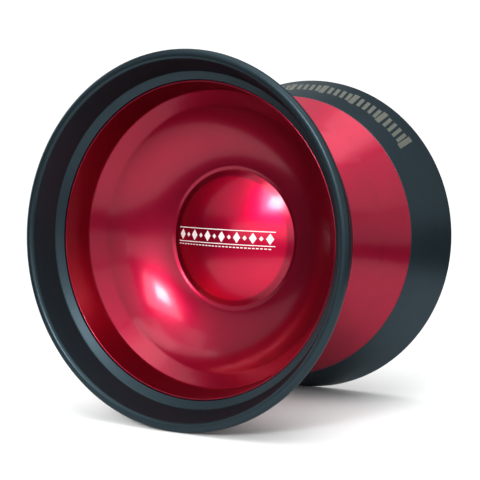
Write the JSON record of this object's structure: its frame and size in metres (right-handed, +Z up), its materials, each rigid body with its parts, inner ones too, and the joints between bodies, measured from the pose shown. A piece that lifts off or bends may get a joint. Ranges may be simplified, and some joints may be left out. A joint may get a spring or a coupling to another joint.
{
  "type": "yo-yo",
  "caption": "Wide butterfly-shaped metal yo-yo with deep cups, steel rim weight rings and a shielded ball bearing on a threaded axle.",
  "frame": {"origin": "centre of the ball bearing, which is the middle of the object", "axes": "+Y along the spin axis towards the rear half, +Z up as the yo-yo stands on its two rims"},
  "size_m": [0.0558, 0.0442, 0.0558],
  "materials": {
    "anodised_red": "fine satin, red anodised",
    "black_ring": "satin black coated stainless steel",
    "silicone": "matte translucent silicone",
    "bearing_steel": "ground and polished",
    "screw_steel": "plain bright steel"
  },
  "bodies": {
    "front_half": {"front_body": "anodised_red", "front_weight_ring": "black_ring", "front_response_pad": "silicone", "axle": "screw_steel"},
    "bearing_core": {"bearing_inner_race": "bearing_steel"},
    "rear_half": {"rear_body": "anodised_red", "rear_weight_ring": "black_ring", "rear_response_pad": "silicone"},
    "bearing_outer": {"bearing_outer_race": "bearing_steel", "front_bearing_shield": "bearing_steel", "rear_bearing_shield": "bearing_steel", "front_snap_ring": "screw_steel", "rear_snap_ring": "screw_steel"},
    "bearing_cage": {"ball_cage": "screw_steel"},
    "rolling_ball_1": {"ball_1": "bearing_steel"},
    "rolling_ball_2": {"ball_2": "bearing_steel"},
    "rolling_ball_3": {"ball_3": "bearing_steel"},
    "rolling_ball_4": {"ball_4": "bearing_steel"},
    "rolling_ball_5": {"ball_5": "bearing_steel"},
    "rolling_ball_6": {"ball_6": "bearing_steel"},
    "rolling_ball_7": {"ball_7": "bearing_steel"},
    "rolling_ball_8": {"ball_8": "bearing_steel"},
    "rolling_ball_9": {"ball_9": "bearing_steel"},
    "rolling_ball_10": {"ball_10": "bearing_steel"}
  },
  "joints": [
    {"name": "rear_half_travel", "type": "slide", "parent": "front_half", "child": "bearing_core", "axis": [0, 1, 0], "range_m": [0, 0.0043]},
    {"name": "rear_half_turn", "type": "hinge", "parent": "bearing_core", "child": "rear_half", "pos_m": [0, 0, 0], "axis": [0, 1, 0], "range_deg": [0, 2160]},
    {"name": "outer_race_spin", "type": "hinge", "parent": "bearing_core", "child": "bearing_outer", "pos_m": [0, 0, 0], "axis": [0, 1, 0], "continuous": true},
    {"name": "cage_spin", "type": "hinge", "parent": "bearing_core", "child": "bearing_cage", "pos_m": [0, 0, 0], "axis": [0, 1, 0], "continuous": true},
    {"name": "ball_1_spin", "type": "hinge", "parent": "bearing_cage", "child": "rolling_ball_1", "pos_m": [0.00476, 0, 0], "axis": [0, 1, 0], "continuous": true},
    {"name": "ball_2_spin", "type": "hinge", "parent": "bearing_cage", "child": "rolling_ball_2", "pos_m": [0.00385, 0, 0.0028], "axis": [0, 1, 0], "continuous": true},
    {"name": "ball_3_spin", "type": "hinge", "parent": "bearing_cage", "child": "rolling_ball_3", "pos_m": [0.00147, 0, 0.00453], "axis": [0, 1, 0], "continuous": true},
    {"name": "ball_4_spin", "type": "hinge", "parent": "bearing_cage", "child": "rolling_ball_4", "pos_m": [-0.00147, 0, 0.00453], "axis": [0, 1, 0], "continuous": true},
    {"name": "ball_5_spin", "type": "hinge", "parent": "bearing_cage", "child": "rolling_ball_5", "pos_m": [-0.00385, 0, 0.0028], "axis": [0, 1, 0], "continuous": true},
    {"name": "ball_6_spin", "type": "hinge", "parent": "bearing_cage", "child": "rolling_ball_6", "pos_m": [-0.00476, 0, 0], "axis": [0, 1, 0], "continuous": true},
    {"name": "ball_7_spin", "type": "hinge", "parent": "bearing_cage", "child": "rolling_ball_7", "pos_m": [-0.00385, 0, -0.0028], "axis": [0, 1, 0], "continuous": true},
    {"name": "ball_8_spin", "type": "hinge", "parent": "bearing_cage", "child": "rolling_ball_8", "pos_m": [-0.00147, 0, -0.00453], "axis": [0, 1, 0], "continuous": true},
    {"name": "ball_9_spin", "type": "hinge", "parent": "bearing_cage", "child": "rolling_ball_9", "pos_m": [0.00147, 0, -0.00453], "axis": [0, 1, 0], "continuous": true},
    {"name": "ball_10_spin", "type": "hinge", "parent": "bearing_cage", "child": "rolling_ball_10", "pos_m": [0.00385, 0, -0.0028], "axis": [0, 1, 0], "continuous": true}
  ],
  "couplings": [
    {"joint": "rear_half_travel", "follows": "rear_half_turn", "m_per_rad": 0.00011141},
    {"joint": "cage_spin", "follows": "outer_race_spin", "ratio": 0.60499},
    {"joint": "ball_1_spin", "follows": "outer_race_spin", "ratio": 2.2763},
    {"joint": "ball_2_spin", "follows": "outer_race_spin", "ratio": 2.2763},
    {"joint": "ball_3_spin", "follows": "outer_race_spin", "ratio": 2.2763},
    {"joint": "ball_4_spin", "follows": "outer_race_spin", "ratio": 2.2763},
    {"joint": "ball_5_spin", "follows": "outer_race_spin", "ratio": 2.2763},
    {"joint": "ball_6_spin", "follows": "outer_race_spin", "ratio": 2.2763},
    {"joint": "ball_7_spin", "follows": "outer_race_spin", "ratio": 2.2763},
    {"joint": "ball_8_spin", "follows": "outer_race_spin", "ratio": 2.2763},
    {"joint": "ball_9_spin", "follows": "outer_race_spin", "ratio": 2.2763},
    {"joint": "ball_10_spin", "follows": "outer_race_spin", "ratio": 2.2763}
  ]
}
